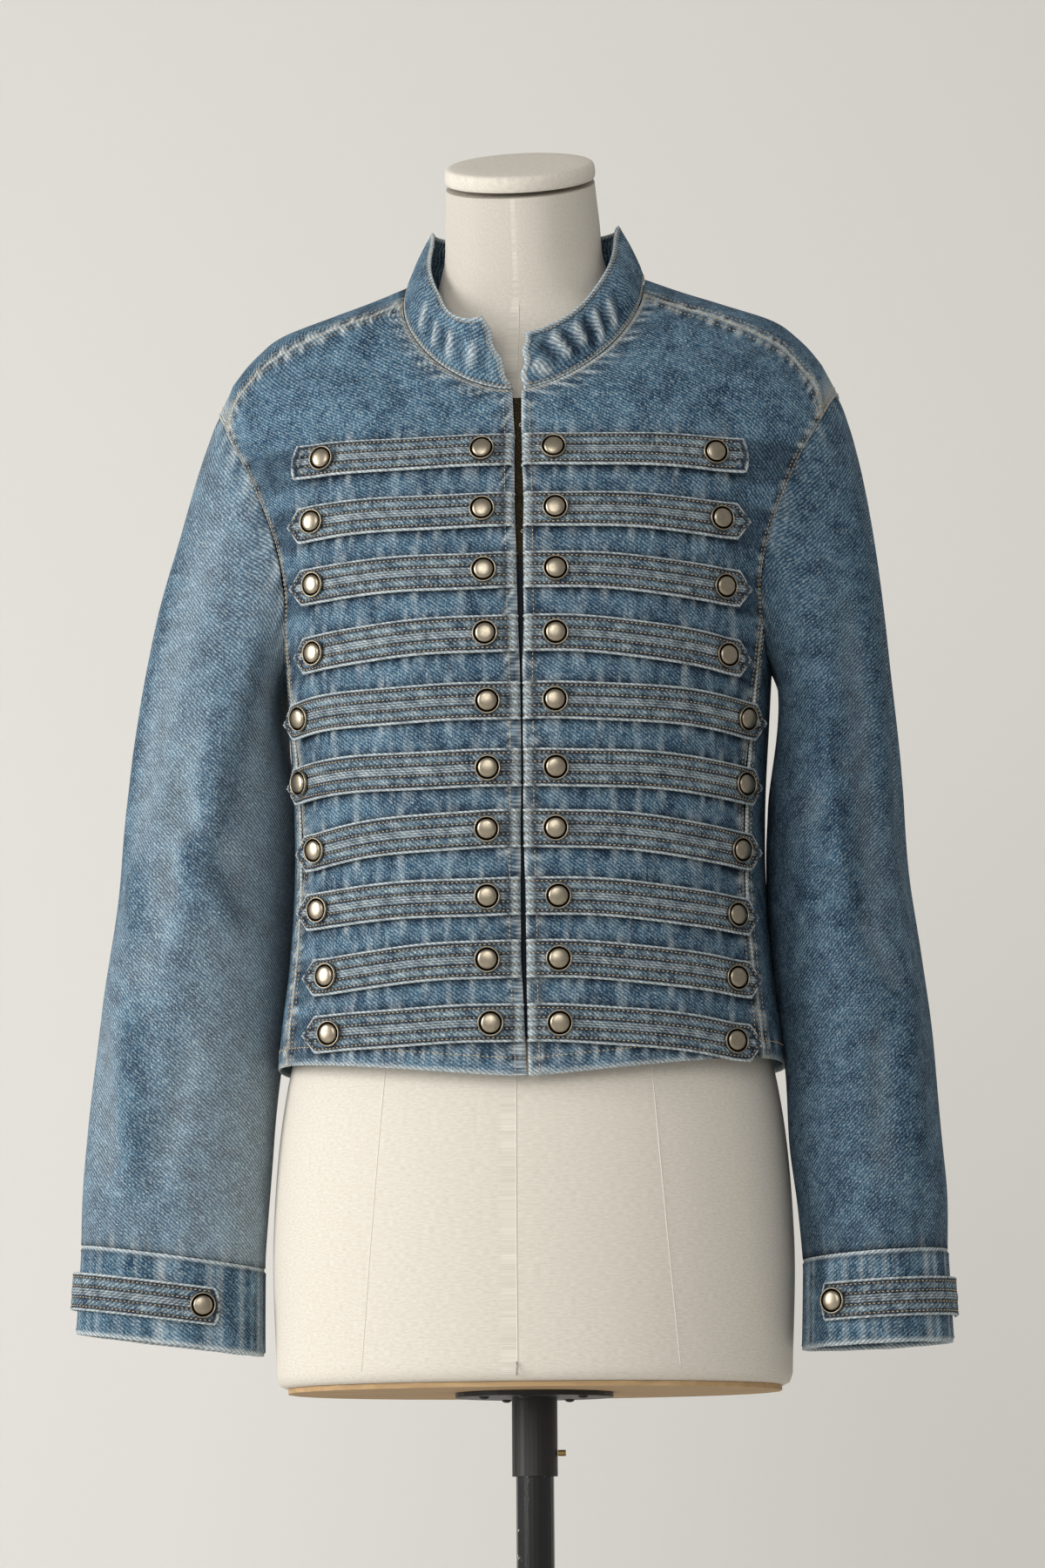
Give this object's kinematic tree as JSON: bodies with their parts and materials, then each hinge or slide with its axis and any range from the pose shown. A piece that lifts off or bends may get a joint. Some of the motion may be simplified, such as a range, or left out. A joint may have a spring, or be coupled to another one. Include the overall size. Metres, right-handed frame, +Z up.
{
  "type": "denim jacket on a dress form",
  "caption": "Cropped stand-collar denim jacket with rows of stitched tabs and metal buttons down both fronts, open at the front, worn by a limbless linen dress form on a pole and round foot.",
  "frame": {"origin": "centre of the foot's flat underside, on the floor", "axes": "+Z up, the jacket's front faces -Y, +X is the wearer's left"},
  "size_m": [0.5839, 0.42, 1.5672],
  "materials": {
    "washed_denim": "stone-washed indigo cotton twill, matte, abraded pale at seams and edges",
    "tab_denim": "the same twill worn paler, with tan topstitching and raised cord ridges",
    "antique_pewter": "antique silver plated metal, satin, darker in the groove",
    "cream_linen": "plain woven natural linen canvas stretched over the form, matte",
    "black_metal": "satin black paint on steel, chipped on the pole",
    "board_wood": "bare plywood",
    "screw_brass": "dull brass"
  },
  "bodies": {
    "root": {"front_right": "washed_denim", "front_left": "washed_denim", "back": "washed_denim", "sleeve_right": "washed_denim", "sleeve_left": "washed_denim", "cuff_right": "washed_denim", "cuff_left": "washed_denim", "collar": "washed_denim", "tab_right_1": "tab_denim", "tab_right_2": "tab_denim", "tab_right_3": "tab_denim", "tab_right_4": "tab_denim", "tab_right_5": "tab_denim", "tab_right_6": "tab_denim", "tab_right_7": "tab_denim", "tab_right_8": "tab_denim", "tab_right_9": "tab_denim", "tab_right_10": "tab_denim", "tab_left_1": "tab_denim", "tab_left_2": "tab_denim", "tab_left_3": "tab_denim", "tab_left_4": "tab_denim", "tab_left_5": "tab_denim", "tab_left_6": "tab_denim", "tab_left_7": "tab_denim", "tab_left_8": "tab_denim", "tab_left_9": "tab_denim", "tab_left_10": "tab_denim", "cuff_tab_right": "tab_denim", "cuff_tab_left": "tab_denim", "button_right_1": "antique_pewter", "button_right_2": "antique_pewter", "button_right_3": "antique_pewter", "button_right_4": "antique_pewter", "button_right_5": "antique_pewter", "button_right_6": "antique_pewter", "button_right_7": "antique_pewter", "button_right_8": "antique_pewter", "button_right_9": "antique_pewter", "button_right_10": "antique_pewter", "button_left_1": "antique_pewter", "button_left_2": "antique_pewter", "button_left_3": "antique_pewter", "button_left_4": "antique_pewter", "button_left_5": "antique_pewter", "button_left_6": "antique_pewter", "button_left_7": "antique_pewter", "button_left_8": "antique_pewter", "button_left_9": "antique_pewter", "button_left_10": "antique_pewter", "button_cuff_right": "antique_pewter", "button_cuff_left": "antique_pewter", "form_torso": "cream_linen", "form_cap": "cream_linen", "form_board": "board_wood", "stand_socket": "black_metal", "stand_pole": "black_metal", "stand_foot": "black_metal", "stand_set_screw": "screw_brass"}
  },
  "joints": []
}
